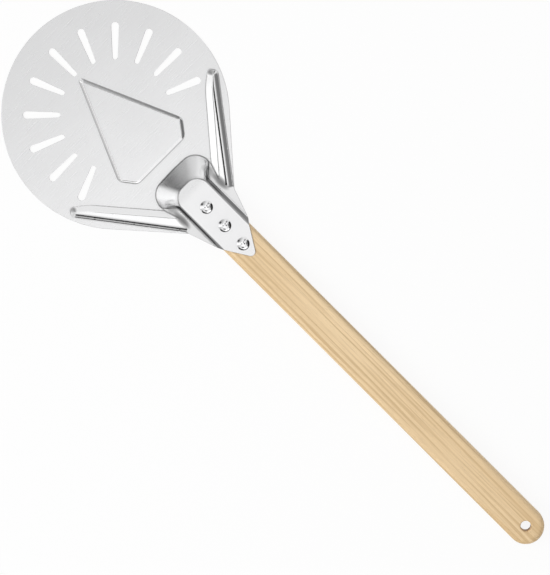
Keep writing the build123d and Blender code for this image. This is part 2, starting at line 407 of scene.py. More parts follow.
def stretched_noise(tree, sizes, detail=2.0, roughness=0.5, offset=(0.0, 0.0, 0.0)):
    """Noise whose features are about sizes metres long along X, Y and Z."""
    inputs = {"Vector": place(tree), "Scale": tuple(1.0 / size for size in sizes), "Location": offset}
    mapping = add_node(tree, "ShaderNodeMapping", inputs)
    inputs = {"Vector": mapping.outputs[0], "Scale": 1.0, "Detail": detail, "Roughness": roughness}
    return add_node(tree, "ShaderNodeTexNoise", inputs).outputs[0]


def openness(tree, reach):
    """1 on open faces, less in corners that are tighter than reach."""
    return add_node(tree, "ShaderNodeAmbientOcclusion", {"Distance": reach}, samples=8).outputs["AO"]


def bump(tree, height, distance, strength, **facing):
    """The facing with the height's unevenness added; facing may give another Normal to start from."""
    inputs = {"Height": height, "Distance": distance, "Strength": strength, **facing}
    return add_node(tree, "ShaderNodeBump", inputs).outputs[0]


def surface(tree, inputs):
    """Principled shader joined to the output."""
    shader = add_node(tree, "ShaderNodeBsdfPrincipled", inputs)
    add_node(tree, "ShaderNodeOutputMaterial", {"Surface": shader.outputs[0]})


def wear(node_name, material):
    """Puts a material on a CAD node's own slots."""
    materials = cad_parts[node_name].data.materials
    materials.clear()
    materials.append(material)


# ---- Materials ----
def painted_shade_spot(tree, x, side, middle, reach, level):
    """1 outside an oval of painted shade, and level in its middle."""
    ahead = math(tree, "DIVIDE", math(tree, "SUBTRACT", x, middle[0] * MM), reach[0] * MM)
    beside = math(tree, "DIVIDE", math(tree, "SUBTRACT", side, middle[1] * MM), reach[1] * MM)
    away = math(tree, "ADD", product(tree, ahead, ahead), product(tree, beside, beside))
    return remap(tree, away, 0.0, 1.0, level, 1.0, smooth=True)


def ramp_facing(tree, normal, facing_x, y):
    """The sheet's facing, with the ramp slightly crowned and eased, as the press leaves it."""
    on_ramp = remap(tree, product(tree, facing_x, -1.0), *RAMP_FACING, smooth=True)
    ease = product(tree, on_ramp, RAMP_EASE)
    crown = product(tree, on_ramp, y, RAMP_TURN)
    tilt = add_node(tree, "ShaderNodeCombineXYZ", {0: ease, 1: crown, 2: ease}).outputs[0]
    tilted = add_node(tree, "ShaderNodeVectorMath", {0: normal, 1: tilt}, operation="ADD").outputs[0]
    return add_node(tree, "ShaderNodeVectorMath", {0: tilted}, operation="NORMALIZE").outputs[0]


def brushed_steel(settings, neck_top):
    """Stainless sheet: brushed crosswise on the flats, smoother where it is drawn over a slope."""
    material, tree = new_material("brushed_stainless")
    width = settings.brush_width
    lines = stretched_noise(tree, (width, settings.brush_length, 4 * width), detail=3.0, roughness=0.6)
    clouds = stretched_noise(tree, (40 * MM, 60 * MM, 60 * MM))
    stretch = stretched_noise(tree, (6 * MM,) * 3, detail=3.0, roughness=0.6)
    x, y, height = parts(tree, place(tree))
    side = math(tree, "ABSOLUTE", y)
    normal = add_node(tree, "ShaderNodeNewGeometry").outputs["Normal"]
    facing_x, _, facing_z = parts(tree, normal)
    level = math(tree, "ABSOLUTE", facing_z)
    bend = add_node(tree, "ShaderNodeAttribute", attribute_name="bend").outputs["Fac"]

    # where the sheet is flat, brushed, on top of the neck, on its walls and on its deep-drawn front
    flat = remap(tree, level, *FLAT_FACING, smooth=True)
    on_neck = remap(tree, height, *(share * neck_top for share in NECK_BAND), smooth=True)
    below_ribs = remap_mm(tree, height, BRUSH_HEIGHTS, 1.0, 0.0, smooth=True)
    on_top = product(tree, on_neck, NECK_BRUSHING)
    brushed = product(tree, flat, math(tree, "MAXIMUM", below_ribs, on_top))
    # on_wall: where the neck's walls get their painted shade
    on_wall = product(tree, remap(tree, level, *WALL_FACING, 1.0, 0.0), remap_mm(tree, x, WALL_X))
    on_front = product(
        tree,
        remap_mm(tree, x, FRONT_END, 1.0, 0.0),
        remap_mm(tree, x, FRONT_START),
        remap_mm(tree, side, FRONT_SIDE, 1.0, 0.0),
    )

    line_tone = math(tree, "SUBTRACT", remap(tree, lines, *NOISE_SPREAD, *LINE_TONES), 1.0)
    sheen = math(tree, "ADD", x, product(tree, y, SHEEN_LEAN))
    low_bend = product(tree, bend, remap_mm(tree, height, HOLLOW_HEIGHTS, 1.0, 0.0))
    tone = product(
        tree,
        math(tree, "ADD", 1.0, product(tree, brushed, line_tone)),
        remap(tree, clouds, *NOISE_SPREAD, *CLOUD_TONES),
        # painted sheen, lighter towards +X and -Y
        remap_mm(tree, sheen, (-SHEEN_REACH, SHEEN_REACH), *SHEEN_TONES),
        # painted shade: the neck's walls darker, for the dark that they mirror
        remap(tree, on_wall, 0.0, 1.0, 1.0, WALL_SHADE),
        # painted shade in inside corners, in hollow bends and on the neck's top edge
        remap(tree, openness(tree, CREASE_REACH * MM), *CREASE),
        remap(tree, low_bend, *HOLLOW),
        remap(tree, product(tree, bend, on_neck), *RIDGE),
        # painted shade spots beside the rib roots and at the ribs' outer ends
        *(painted_shade_spot(tree, x, side, *spot) for spot in PAINTED_SHADE_SPOTS),
    )
    base = mix_colour(tree, on_neck, rgba(settings.colour), rgba(settings.neck_colour))
    # painted shade: the walls' grazing reflection tinted darker, more on the -Y side than on the +Y side
    wall_grazing = remap_mm(tree, y, (-PAD_HALF, PAD_HALF), *WALL_GRAZING)
    grazing = remap(tree, on_wall, 0.0, 1.0, 1.0, wall_grazing)

    fine = product(tree, math(tree, "SUBTRACT", lines, 0.5), LINE_ROUGHNESS)
    soft = product(tree, math(tree, "SUBTRACT", stretch, 0.5), STRETCH_ROUGHNESS)
    brushed_rough = math(tree, "ADD", settings.roughness, fine)
    drawn_rough = math(tree, "ADD", settings.drawn_roughness, soft)
    drawn_rough = math(tree, "ADD", drawn_rough, product(tree, on_front, FRONT_ROUGHNESS))
    drawn = math(tree, "SUBTRACT", 1.0, brushed)
    rough = math(tree, "ADD", product(tree, brushed, brushed_rough), product(tree, drawn, drawn_rough))

    tilted = ramp_facing(tree, normal, facing_x, y)
    uneven = bump(tree, stretch, 0.02 * MM, 0.5, Normal=tilted)
    surface(tree, {
        "Base Color": shade(tree, base, tone),
        "Metallic": 1.0,
        "Specular Tint": grey(tree, grazing),
        "Roughness": rough,
        "Normal": bump(tree, product(tree, lines, brushed), 0.01 * MM, 0.35, Normal=uneven),
    })
    return material


def polished_steel():
    """Bright polished rivet steel with fine handling marks, and painted shade where the head meets the
    sheet.
    """
    material, tree = new_material("polished_rivet_steel")
    marks = stretched_noise(tree, (1.5 * MM,) * 3, detail=4.0, roughness=0.6)
    mark_share = remap(tree, marks, 0.35, 0.65)
    tint = mix_colour(tree, mark_share, rgba((0.86, 0.86, 0.87)), rgba((0.93, 0.93, 0.93)))
    # painted shade: darker in the tight corner round the head's rim
    tint = shade(tree, tint, remap(tree, openness(tree, 1.5 * MM), 0.5, 0.95, 0.2, 1.0))
    rough = remap(tree, marks, 0.35, 0.65, 0.04, 0.09)
    normal = bump(tree, marks, 0.01 * MM, 0.15)
    surface(tree, {"Base Color": tint, "Metallic": 1.0, "Roughness": rough, "Normal": normal})
    return material


def plain_steel():
    """Plain zinc-grey steel of the hidden washers."""
    material, tree = new_material("plain_washer_steel")
    mottle = stretched_noise(tree, (1.2 * MM,) * 3, detail=4.0, roughness=0.65)
    mottle_share = remap(tree, mottle, *NOISE_SPREAD)
    tint = mix_colour(tree, mottle_share, rgba((0.50, 0.51, 0.53)), rgba((0.66, 0.67, 0.69)))
    rough = remap(tree, mottle, *NOISE_SPREAD, 0.35, 0.5)
    normal = bump(tree, mottle, 0.03 * MM, 0.3)
    surface(tree, {"Base Color": tint, "Metallic": 1.0, "Roughness": rough, "Normal": normal})
    return material


def light_hardwood(settings):
    """Pale straight-grained hardwood: soft growth rings, fine fibres and short pore lines along X."""
    material, tree = new_material("light_hardwood")
    drift = stretched_noise(tree, (260 * MM, 22 * MM, 22 * MM))
    rings = stretched_noise(tree, (180 * MM, 2.6 * MM, 5 * MM), detail=2.5, roughness=0.55)
    fibres = stretched_noise(tree, (22 * MM, 0.35 * MM, 0.35 * MM), detail=3.0, roughness=0.65)
    pores = stretched_noise(tree, (4.5 * MM, 0.28 * MM, 0.28 * MM), detail=1.0, offset=(7.0, 3.0, 1.0))
    late = product(tree, remap(tree, rings, 0.44, 0.62, smooth=True), 0.9)
    drift_share = remap(tree, drift, 0.35, 0.7, 0.0, 0.45)
    pore_share = remap(tree, pores, 0.66, 0.76, 0.0, 0.55)
    colour = mix_colour(tree, late, rgba(settings.early_colour), rgba(settings.late_colour))
    colour = mix_colour(tree, drift_share, colour, rgba(settings.late_colour, 1.06))
    colour = shade(tree, colour, remap(tree, fibres, 0.25, 0.75, 0.87, 1.1))
    colour = mix_colour(tree, pore_share, colour, rgba(settings.pore_colour))
    rough = remap(tree, fibres, 0.25, 0.75, 0.48, 0.62)
    grain_height = math(tree, "SUBTRACT", fibres, product(tree, pore_share, 0.6))
    normal = bump(tree, grain_height, 0.08 * MM, 0.35)
    surface(tree, {"Base Color": colour, "Roughness": rough, "Specular IOR Level": 0.35, "Normal": normal})
    return material


def seen_or_mirrored(tree):
    """1 for rays from the camera, from a mirror-like surface or through glass, and 0 for light."""
    path = add_node(tree, "ShaderNodeLightPath").outputs
    seen = math(tree, "MAXIMUM", path["Is Camera Ray"], path["Is Glossy Ray"])
    return math(tree, "MAXIMUM", seen, path["Is Transmission Ray"])


def floor_paint(settings):
    """Plain white floor, seen as mostly white, with the object's shadow kept."""
    material, tree = new_material("studio_floor")
    paint = add_node(tree, "ShaderNodeBsdfDiffuse", {"Color": rgba(settings.floor_colour)})
    white = add_node(tree, "ShaderNodeEmission", {"Color": WHITE, "Strength": 1.0})
    share = product(tree, seen_or_mirrored(tree), settings.floor_glow)
    mixed = add_node(tree, "ShaderNodeMixShader", {0: share, 1: paint.outputs[0], 2: white.outputs[0]})
    add_node(tree, "ShaderNodeOutputMaterial", {"Surface": mixed.outputs[0]})
    return material


def tent_ring(tree, turn, levels):
    """Brightness round the tent at one height; turn runs from 0 to 1 round the compass."""
    node = add_node(tree, "ShaderNodeValToRGB", {"Fac": turn})
    stops = node.color_ramp.elements
    for end in stops:
        end.color = rgba((levels[0][1],) * 3)
    for bearing, level in levels[1:]:
        stops.new(bearing / 360).color = rgba((level,) * 3)
    return node.outputs["Color"]


def card_shade(tree, turn, from_top, across_turn, down, level):
    """1 outside a card that hangs in the tent, and its own level inside."""
    middle, half = across_turn[0] / 360, across_turn[1] / 360
    away = math(tree, "PINGPONG", math(tree, "SUBTRACT", turn, middle), 0.5)
    beside = remap(tree, away, half - CARD_SIDE_FADE, half, 1.0, 0.0, smooth=True)
    top, foot = ((radians(edge - CARD_FADE), radians(edge + CARD_FADE)) for edge in down)
    below = remap(tree, from_top, *top, smooth=True)
    above = remap(tree, from_top, *foot, 1.0, 0.0, smooth=True)
    return remap(tree, product(tree, beside, below, above), 0.0, 1.0, 1.0, level)


def light_tent(settings):
    """White tent of light with darker openings and cards, seen directly as plain white."""
    world = bpy.data.worlds.new("light_tent")
    tree = empty_tree(world)
    x, y, z = parts(tree, add_node(tree, "ShaderNodeTexCoord").outputs["Generated"])
    turn = math(tree, "FRACT", math(tree, "DIVIDE", math(tree, "ARCTAN2", y, x), 2 * pi))
    from_top = math(tree, "ARCCOSINE", z)
    to_middle = remap(tree, from_top, *map(radians, MIDDLE_BLEND), smooth=True)
    to_low = remap(tree, from_top, *map(radians, LOW_BLEND), smooth=True)
    roof = rgba((settings.tent_level,) * 3)
    level = mix_colour(tree, to_middle, roof, tent_ring(tree, turn, TENT_MIDDLE))
    level = mix_colour(tree, to_low, level, tent_ring(tree, turn, TENT_LOW))
    for card in CARDS:
        level = shade(tree, level, card_shade(tree, turn, from_top, *card))
    seen = add_node(tree, "ShaderNodeLightPath").outputs["Is Camera Ray"]
    level = mix_colour(tree, seen, level, WHITE)
    glow = add_node(tree, "ShaderNodeBackground", {"Color": level, "Strength": 1.0})
    add_node(tree, "ShaderNodeOutputWorld", {"Surface": glow.outputs[0]})
    return world


# ---- Pressed sheet ----
def smooth_step(value, start, full):
    """0 up to start and 1 from full on, with a soft change between."""
    share = np.clip((value - start) / (full - start), 0.0, 1.0)
    return share * share * (3.0 - 2.0 * share)


def neck_block(x, y, skin):
    """Share of the neck's height: its ramp, its round corners, and its sides, which steepen into walls."""
    low = np.zeros_like(x)
    high = np.ones_like(x)
    wall_foot = PAD_HALF + NECK_RISE / tan(radians(WALL_SLOPE))
    foot_half = FOOT_HALF + (wall_foot - FOOT_HALF) * smooth_step(x, *WALL_START)
    pad_half = PAD_HALF + bend_shift(skin, WALL_SLOPE)
    foot_half = foot_half + bend_shift(skin, SKIRT_SLOPE)

    def outside(share):
        front = FOOT_X - bend_shift(skin, RAMP_SLOPE) + share * (PAD_X - FOOT_X) + RAMP_CROWN * y * y
        half = foot_half + share * (pad_half - foot_half)
        corner = FOOT_CORNER + share * (PAD_CORNER - FOOT_CORNER) + bend_shift(skin, RAMP_SLOPE)
        ahead = front + corner - x
        beside = y - half + corner
        round_off = np.hypot(np.maximum(ahead, 0.0), np.maximum(beside, 0.0))
        return round_off + np.minimum(np.maximum(ahead, beside), 0.0) - corner

    inside_foot = outside(low) <= 0.0
    for _ in range(HALVINGS):
        middle = (low + high) / 2.0
        beyond = outside(middle) > 0.0
        high = np.where(beyond, middle, high)
        low = np.where(beyond, low, middle)
    share = np.where(inside_foot, (low + high) / 2.0, 0.0)
    return share + RAMP_BULGE * share * (1.0 - share)


def neck_height(x, y, skin):
    """The neck: its block, and the skirts that spread from the foot of its walls."""
    skirt = (FOOT_HALF + bend_shift(skin, SKIRT_SLOPE) - y) * tan(radians(SKIRT_SLOPE))
    skirt = np.clip(skirt, 0.0, SKIRT_TOP) * smooth_step(x, *SKIRT_START)
    return smooth_higher(NECK_RISE * neck_block(x, y, skin), skirt, SKIRT_BLEND)


def smooth_higher(first, second, blend):
    """The higher of two reliefs, with a fillet where they meet."""
    blend = np.clip(np.minimum(first, second) / blend, 0.0, 1.0) * blend + TINY
    return np.maximum(first, second) + np.maximum(blend - np.abs(first - second), 0.0) ** 2 / (4.0 * blend)


def bend_shift(skin, turn):
    """How far a bend line lies outside the sheet's underside on a face that is skin above it."""
    return skin * tan(radians(turn) / 2.0)


def flank_height(inward):
    """Outer side of a rib: a soft foot, its steepest part, then a long round up to the crest."""
    steep = RIB_RISE / (0.5 * FLANK_FOOT + FLANK_STEEP + 0.5 * (1.0 + FLANK_START) * FLANK_ROUND)
    foot = steep * np.clip(inward, 0.0, FLANK_FOOT) ** 2 / (2.0 * FLANK_FOOT)
    middle = steep * np.clip(inward - FLANK_FOOT, 0.0, FLANK_STEEP)
    up = np.clip(inward - FLANK_FOOT - FLANK_STEEP, 0.0, FLANK_ROUND)
    return foot + middle + steep * (up - (1.0 - FLANK_START) * up * up / (2.0 * FLANK_ROUND))


def rib_line():
    """The rib's guide line at +Y: its outer end, and its run from there to the root at the neck."""
    bearing = radians(RIB_TIP_ANGLE)
    tip = Vector((RIB_TIP_REACH * cos(bearing), RIB_TIP_REACH * sin(bearing)))
    return tip, Vector(RIB_ROOT) - tip


def rib_height(x, y, skin):
    """The rib at +Y; along runs from its outer end to the neck, and out is away from the handle."""
    outer = RIB_OUTER + bend_shift(skin, RIB_SLOPE)
    inner_tip = RIB_INNER_TIP - bend_shift(skin, RIB_SLOPE)
    tip, run = rib_line()
    ahead = run.normalized()
    along = (x - tip.x) * ahead.x + (y - tip.y) * ahead.y
    out = (x - tip.x) * -ahead.y + (y - tip.y) * ahead.x
    share = np.clip(along / run.length, 0.0, RIB_OVERRUN)
    taper = RIB_TIP_TAPER * np.clip(1.0 - share / RIB_TAPER_SHARE, 0.0, 1.0) ** 2
    inner_foot = inner_tip + (RIB_INNER_ROOT - RIB_INNER_TIP) * share + taper
    slope_in = tan(radians(RIB_SLOPE))
    side = np.minimum(flank_height(outer - out), np.clip((out - inner_foot) * slope_in, 0.0, RIB_RISE))
    middle = (outer + inner_tip + RIB_TIP_TAPER) / 2.0
    reach = (outer - inner_tip - RIB_TIP_TAPER) / 2.0
    spread = np.hypot(along, out - middle)
    turn = (1.0 + (out - middle) / np.maximum(spread, TOUCHING)) / 2.0
    inward = reach - spread
    tip_inner = np.clip(inward * slope_in, 0.0, RIB_RISE)
    end = tip_inner + (flank_height(inward) - tip_inner) * turn
    return np.where(along > 0.0, side, end)


def panel_height(x, y, skin):
    """The raised five-sided panel, whose border slopes evenly; y is the distance from the centre line."""
    corners = [Vector(corner) for corner in PANEL]
    ahead = (corners[1] - corners[0]).normalized()
    lines = [(x - corners[0].x) * ahead.y + y * ahead.x]
    for start, end in zip(corners, corners[1:]):
        ahead = (end - start).normalized()
        lines.append((x - start.x) * ahead.y - (y - start.y) * ahead.x)
    inward = np.minimum.reduce(lines)
    for first, second in zip(lines, lines[1:]):
        round_off = PANEL_CORNER - np.hypot(PANEL_CORNER - first, PANEL_CORNER - second)
        in_corner = (first < PANEL_CORNER) & (second < PANEL_CORNER)
        inward = np.where(in_corner, np.minimum(inward, round_off), inward)
    return np.clip((inward + bend_shift(skin, PANEL_SLOPE)) * tan(radians(PANEL_SLOPE)), 0.0, PANEL_RISE)


def soften(height, reach):
    """Rounds every bend of the relief, as the press does."""
    taps = int(3.0 * reach / GRID) + 1
    weights = np.exp(-0.5 * (np.arange(-taps, taps + 1) * GRID / reach) ** 2)
    weights /= weights.sum()
    for axis in (0, 1):
        padded = np.pad(height, [(taps, taps) if i == axis else (0, 0) for i in (0, 1)], mode="edge")
        size = height.shape[axis]
        height = sum(w * np.take(padded, range(i, i + size), axis) for i, w in enumerate(weights))
    return height


class Relief:
    """Height, slope and bend of one face of the sheet, skin above its underside, over the whole blade."""

    def __init__(self, skin):
        x, y = np.meshgrid(np.arange(*FIELD_X, GRID), np.arange(*FIELD_Y, GRID))
        half = np.abs(y)
        neck = neck_height(x, half, skin)
        rib = rib_height(x, half, skin)
        height = skin + smooth_higher(neck, rib, ROOT_BLEND) + panel_height(x, half, skin)
        height = soften(height, BEND)
        slope_y, slope_x = np.gradient(height, GRID)
        bend_y = np.gradient(slope_y, GRID)
        bend_x = np.gradient(slope_x, GRID)
        steep = 1.0 + slope_x**2 + slope_y**2
        bend = (bend_x[1] * (1.0 + slope_y**2) + bend_y[0] * (1.0 + slope_x**2)
                - 2.0 * slope_x * slope_y * bend_x[0]) / steep**1.5
        self.layers = np.stack([height, slope_x, slope_y, bend])

    def at(self, points):
        """Height, both slopes and bend under each (x, y) point."""
        across = (points[:, 0] - FIELD_X[0]) / GRID
        up = (points[:, 1] - FIELD_Y[0]) / GRID
        i = np.clip(across.astype(int), 0, self.layers.shape[2] - 2)
        j = np.clip(up.astype(int), 0, self.layers.shape[1] - 2)
        a, b = across - i, up - j
        layers = self.layers
        low = layers[:, j, i] * (1.0 - a) + layers[:, j, i + 1] * a
        high = layers[:, j + 1, i] * (1.0 - a) + layers[:, j + 1, i + 1] * a
        return low * (1.0 - b) + high * b


# ---- Outlines ----
def arc(centre, radius, start, end, steps):
    """Points along a circle's arc, as pairs; angles in degrees from the first axis."""
    turns = (radians(start + (end - start) * i / steps) for i in range(steps + 1))
    return [(centre[0] + radius * cos(turn), centre[1] + radius * sin(turn)) for turn in turns]


def arc_points(centre, radius, start, end, step):
    """The same, with the points about step apart."""
    count = max(2, int(abs(radians(end - start)) * radius / step) + 1)
    return [Vector(point) for point in arc(centre, radius, start, end, count)]


def rounded_path(points, radii, step):
    """Open path through points, with its inner corners rounded and its straights divided."""
    path = [Vector(points[0])]
    for before, corner, after, radius in zip(points, points[1:], points[2:], radii):
        before, corner, after = Vector(before), Vector(corner), Vector(after)
        back, ahead = (before - corner).normalized(), (after - corner).normalized()
        half_turn = back.angle(ahead) / 2.0
        middle = (back + ahead).normalized()
        centre = corner + middle * (radius / sin(half_turn))
        start = corner + back * (radius / tan(half_turn)) - centre
        end = corner + ahead * (radius / tan(half_turn)) - centre
        first = degrees(atan2(start.y, start.x))
        sweep = (degrees(atan2(end.y, end.x)) - first + 180.0) % 360.0 - 180.0
        path += arc_points(centre, radius, first, first + sweep, step)
    path.append(Vector(points[-1]))
    divided = [path[0]]
    for start, end in zip(path, path[1:]):
        count = max(1, round((end - start).length / step))
        divided += [start.lerp(end, i / count) for i in range(1, count + 1)]
    return divided


def blank_outline():
    """The blade's outline, anticlockwise: round rim, shoulders, waist and pointed tongue."""
    rim_end = degrees(atan2(SHOULDER[1], SHOULDER[0]) + acos(BLADE_RADIUS / hypot(*SHOULDER)))
    rim = arc_points((0.0, 0.0), BLADE_RADIUS, rim_end, 360.0 - rim_end, RIM_STEP)
    waist_x = TONGUE_X - WAIST_HALF / tan(radians(TONGUE_ANGLE))
    corners = [
        rim[-1],
        (SHOULDER[0], -SHOULDER[1]),
        (waist_x, -WAIST_HALF),
        (TONGUE_X, 0.0),
        (waist_x, WAIST_HALF),
        SHOULDER,
        rim[0],
    ]
    radii = (SHOULDER_ROUND, WAIST_ROUND, TONGUE_ROUND, WAIST_ROUND, SHOULDER_ROUND)
    return rim + rounded_path(corners, radii, WAIST_STEP)[1:-1]


def slot_outline(bearing):
    """One tapered slot, clockwise."""
    small, large = SLOT_WIDTHS[0] / 2.0, SLOT_WIDTHS[1] / 2.0
    inner, outer = SLOT_REACH[0] + small, SLOT_REACH[1] - large
    lean = 90.0 + degrees(asin((large - small) / (outer - inner)))
    loop = arc_points((outer, 0.0), large, lean, -lean, SLOT_STEP)
    loop += arc_points((inner, 0.0), small, -lean, lean - 360.0, SLOT_STEP)
    turn = Matrix.Rotation(radians(bearing), 2)
    return [turn @ point for point in loop]


def hole_outline(x, radius):
    """A round hole on the centre line, clockwise."""
    return arc_points((x, 0.0), radius, 360.0, 0.0, HOLE_STEP)[:-1]


def neighbours(loop):
    """Each item of a closed loop, between the one before and the one after it."""
    return zip(loop[-1:] + loop[:-1], loop, loop[1:] + loop[:1])


def aside(loop, amount):
    """A closed loop moved to its right by amount."""
    moved = []
    for before, point, after in neighbours(loop):
        ahead = (after - before).normalized()
        moved.append(point + Vector((ahead.y, -ahead.x)) * amount)
    return moved


def crossing(first, second):
    """Where two lines cross, each given by two points."""
    start, ahead = first[0], first[1] - first[0]
    other, along = second[0], second[1] - second[0]
    share = (other - start).cross(along) / ahead.cross(along)
    return start + ahead * share


def inset_path(corners, amount):
    """An open path moved to its right by amount; its ends stay on the centre line."""
    lines = []
    for start, end in zip(corners, corners[1:]):
        ahead = (end - start).normalized()
        inward = Vector((ahead.y, -ahead.x)) * amount
        lines.append((start + inward, end + inward))
    middle = (Vector((0.0, 0.0)), Vector((1.0, 0.0)))
    inner = [crossing(first, second) for first, second in zip(lines, lines[1:])]
    return [crossing(lines[0], middle), *inner, crossing(lines[-1], middle)]


def loop_distance(points, loops):
    """Distance from each point to the nearest outline."""
    nearest = np.full(len(points), np.inf)
    for loop in loops:
        start = np.array([tuple(p) for p in loop])
        along = np.roll(start, -1, 0) - start
        part = points[:, None, :] - start[None]
        share = np.clip((part * along).sum(2) / (along * along).sum(1), 0.0, 1.0)
        gap = np.hypot(*np.moveaxis(part - share[..., None] * along, 2, 0)).min(1)
        nearest = np.minimum(nearest, gap)
    return nearest


def within(points, loop):
    """True for each point inside a closed loop."""
    x, y = points[:, 0, None], points[:, 1, None]
    start = np.array([tuple(p) for p in loop])
    end = np.roll(start, -1, 0)
    crosses = (start[:, 1] > y) != (end[:, 1] > y)
    rise = np.where(end[:, 1] == start[:, 1], 1.0, end[:, 1] - start[:, 1])
    side = start[:, 0] + (y - start[:, 1]) * (end[:, 0] - start[:, 0]) / rise
    return ((crosses & (x < side)).sum(1) % 2).astype(bool)


def in_sheet(points, outline, openings):
    """True for each point inside the outline and outside every opening."""
    inside = within(points, outline)
    for opening in openings:
        inside &= ~within(points, opening)
    return inside


# ---- The blade's mesh ----
def neck_points():
    """Rows of points round the +Y half of the neck, from its foot to its pad."""
    points = []
    for share in NECK_ROWS:
        front = FOOT_X + share * (PAD_X - FOOT_X)
        half = FOOT_HALF + share * (PAD_HALF - FOOT_HALF)
        corner = max(FOOT_CORNER + share * (PAD_CORNER - FOOT_CORNER), NECK_LEAST_CORNER)
        points += [(front, (half - corner) * i / FRONT_STEPS) for i in range(FRONT_STEPS)]
        points += arc((front + corner, half - corner), corner, 180.0, 90.0, CORNER_STEPS)
        stop = int((TONGUE_X - front - corner) / WALL_STEP)
        points += [(front + corner + WALL_STEP * i, half) for i in range(1, stop)]
    return points


def rib_points():
    """Points in rows along the rib, and in rings round its outer end."""
    tip, run = rib_line()
    ahead = run.normalized()
    outward = Vector((-ahead.y, ahead.x))
    rows = [i / RIB_ROWS for i in (*range(-4, 32), 33)]  # they reach a little past both feet
    points = []
    for step in range(RIB_STEPS + 1):
        along = run.length * RIB_SHARE * step / RIB_STEPS
        inner = RIB_INNER_TIP + (RIB_INNER_ROOT - RIB_INNER_TIP) * along / run.length
        points += [tip + ahead * along + outward * (inner + (RIB_OUTER - inner) * row) for row in rows]
    middle, reach = (RIB_OUTER + RIB_INNER_TIP) / 2.0, (RIB_OUTER - RIB_INNER_TIP) / 2.0
    for ring in range(1, TIP_RINGS + TIP_OUTSIDE + 1):
        around = arc((0.0, middle), reach * ring / TIP_RINGS, 90.0, 270.0, TIP_STEPS)
        points += [tip + ahead * along + outward * out for along, out in around[1:-1]]
    return points


def free_points():
    """Places for the mesh's free points: rows that follow each pressed form, and a coarse net between."""
    points = neck_points() + rib_points()
    for inset in PANEL_ROWS:
        border = inset_path([Vector(corner) for corner in PANEL], inset)
        corner = max(PANEL_CORNER - inset, PANEL_LEAST_CORNER)
        points += rounded_path(border, (corner, corner), PANEL_STEP)
    points += [(NET_X * (i + j % 2 / 2), NET_Y * j) for i in NET_COLUMNS for j in NET_ROWS]
    upper = np.array([tuple(p) for p in points if p[1] > -TOUCHING])
    lower = upper[upper[:, 1] > MIRROR_FROM] * (1.0, -1.0)
    return np.concatenate([upper, lower])


def turns_left(plan, face):
    """True where a three-cornered face runs anticlockwise."""
    a, b, c = (plan[i] for i in face)
    return (b[0] - a[0]) * (c[1] - a[1]) > (b[1] - a[1]) * (c[0] - a[0])


def blade_plan():
    """The blade from above: its points, its faces, and the rings of points along its cut edges."""
    outline = blank_outline()
    bearings = [180.0 + SLOT_PITCH * (i - (SLOT_COUNT - 1) / 2.0) for i in range(SLOT_COUNT)]
    openings = [slot_outline(bearing) for bearing in bearings]
    for spot in RIVET_PLACES:
        low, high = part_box(f"rivet_{spot}")
        openings.append(hole_outline((low.x + high.x) / 2.0 / MM, RIVET_HOLE))
    cut = [outline, *openings]
    loops = cut + [aside(loop, -EDGE_EASING) for loop in cut]
    free = free_points()
    free = free[in_sheet(free, outline, openings) & (loop_distance(free, cut) > EDGE_CLEARANCE)]
    edges = []
    for loop in loops:
        first = len(edges)
        edges += [(first + i, first + (i + 1) % len(loop)) for i in range(len(loop))]
    points = [Vector(p) for p in (*sum(loops, []), *free)]
    found = delaunay_2d_cdt(points, edges, [], 0, MERGING)
    plan = np.array([tuple(p) for p in found[0]])
    faces = np.array([face if turns_left(plan, face) else face[::-1] for face in found[2]])
    faces = faces[in_sheet(plan[faces].mean(1), outline, openings)]

    placed = {source: i for i, sources in enumerate(found[3]) for source in sources}
    rings = []
    first = 0
    for loop in cut:
        rings.append([placed[first + i] for i in range(len(loop))])
        first += len(loop)
    return plan, faces, rings


def unit(vectors):
    """Each row of vectors, made one long."""
    return vectors / np.linalg.norm(vectors, axis=1)[:, None]


def pressed_blade(name):
    """The blade as one closed mesh: the sheet's two faces, the eased and cut edges between them."""
    plan, faces, rings = blade_plan()
    edge_side = np.zeros((len(plan), 2))
    for ring in rings:
        for before, point, after in neighbours(ring):
            ahead = plan[after] - plan[before]
            edge_side[point] = np.array((ahead[1], -ahead[0])) / np.linalg.norm(ahead)
    on_edge = np.abs(edge_side).sum(1) > 0.0

    sheets, normals, bends = [], [], []
    for skin, facing in ((SHEET, 1.0), (0.0, -1.0)):
        height, slope_x, slope_y, bend = Relief(skin).at(plan)
        normal = unit(np.stack([-slope_x, -slope_y, np.ones_like(height)], 1) * facing)
        normal[on_edge, :2] += edge_side[on_edge]
        sheets.append(np.column_stack([plan, height - facing * EDGE_DROP * on_edge]))
        normals.append(unit(normal))
        # the cut edges take EDGE_SHADE, a painted shade, in place of their bend
        bends.append(np.where(on_edge, EDGE_SHADE, bend * facing))

    count = len(plan)
    points = np.concatenate(sheets) * MM
    over = [tuple(map(int, face)) for face in faces]
    under = [tuple(i + count for i in face[::-1]) for face in over]
    rim = [(a, count + a, count + b, b) for ring in rings for a, b in zip(ring, ring[1:] + ring[:1])]
    mesh = bpy.data.meshes.new(name)
    mesh.from_pydata(points.tolist(), [], over + under + rim)
    mesh.polygons.foreach_set("use_smooth", [True] * len(mesh.polygons))
    mesh.attributes.new("bend", "FLOAT", "POINT").data.foreach_set("value", np.concatenate(bends))
    corner_normals = [tuple(normals[0][i]) for face in over for i in face]
    corner_normals += [tuple(normals[1][i]) for face in over for i in face[::-1]]
    corner_normals += [(*edge_side[i], 0.0) for a, _, _, b in rim for i in (a, a, b, b)]
    mesh.normals_split_custom_set(corner_normals)
    return mesh


